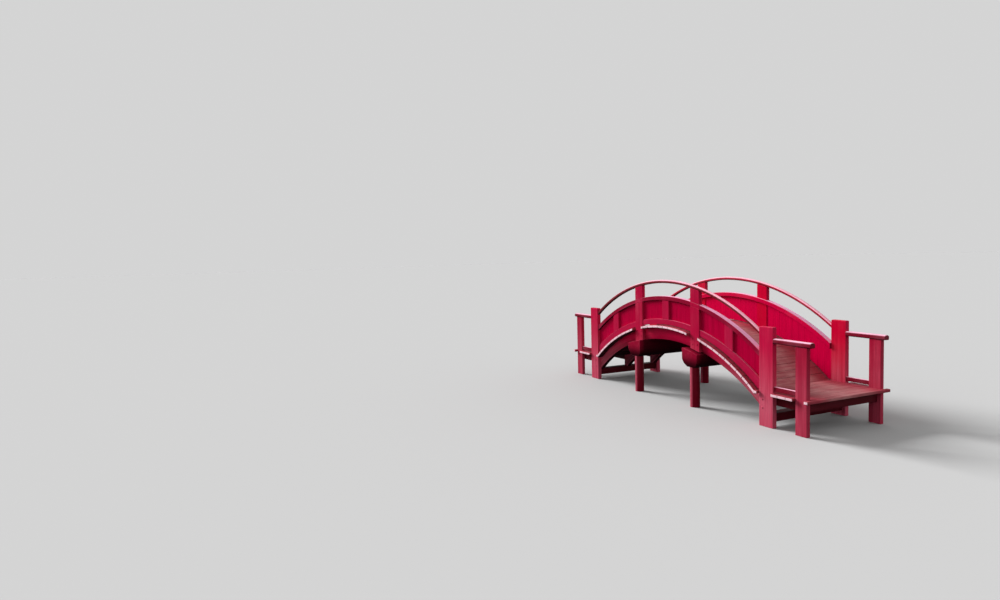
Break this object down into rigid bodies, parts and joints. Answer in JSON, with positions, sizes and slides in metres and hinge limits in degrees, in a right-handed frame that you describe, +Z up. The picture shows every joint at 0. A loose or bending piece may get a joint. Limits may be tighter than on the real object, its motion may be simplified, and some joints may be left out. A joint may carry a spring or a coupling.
{
  "type": "moon bridge",
  "caption": "Arched garden footbridge with low boarded railings, curved handrails and round timber piles, for crossing a pond on foot.",
  "frame": {"origin": "middle of the bridge on the level of the feet of its piles and posts, where they stand in the ground or meet the water", "axes": "+X along the bridge towards its right end, +Y across the bridge towards its far railing, +Z up"},
  "size_m": [6.016, 1.754, 2.0558],
  "materials": {
    "deck_boards": "sun-bleached red paint on boards, matt",
    "bearing_timber": "red painted timber, matt",
    "girder": "red painted timber, satin",
    "post": "red painted timber, satin, faded low down",
    "handrail": "red painted timber, worn and glossy",
    "mid_rail": "red painted timber, satin",
    "bottom_rail": "red painted timber, satin",
    "panel": "bright red painted boards, satin",
    "stile": "red painted timber, satin",
    "cap_beam": "red painted timber, satin",
    "pile": "red painted round timber, satin",
    "wing_rail": "red painted timber, satin"
  },
  "bodies": {
    "root": {"deck_left": "deck_boards", "deck_middle": "deck_boards", "deck_right": "deck_boards", "landing_left": "deck_boards", "landing_right": "deck_boards", "landing_frame_left": "bearing_timber", "landing_frame_right": "bearing_timber", "end_sill_left": "bearing_timber", "end_sill_right": "bearing_timber", "girder_near": "girder", "girder_middle": "girder", "girder_far": "girder", "newel_near_left": "post", "newel_near_right": "post", "newel_far_left": "post", "newel_far_right": "post", "post_near_left": "post", "post_near_right": "post", "post_far_left": "post", "post_far_right": "post", "handrail_near": "handrail", "handrail_far": "handrail", "mid_rail_near": "mid_rail", "mid_rail_far": "mid_rail", "bottom_rail_near": "bottom_rail", "bottom_rail_far": "bottom_rail", "panels_near": "panel", "panels_far": "panel", "stiles_near": "stile", "stiles_far": "stile", "cap_beam_left": "cap_beam", "cap_beam_right": "cap_beam", "piles_left": "pile", "piles_right": "pile", "wing_post_near_left": "post", "wing_post_near_right": "post", "wing_post_far_left": "post", "wing_post_far_right": "post", "wing_rail_near_left": "wing_rail", "wing_rail_near_right": "wing_rail", "wing_rail_far_left": "wing_rail", "wing_rail_far_right": "wing_rail", "wing_bottom_rails_left": "wing_rail", "wing_bottom_rails_right": "wing_rail"}
  },
  "joints": []
}
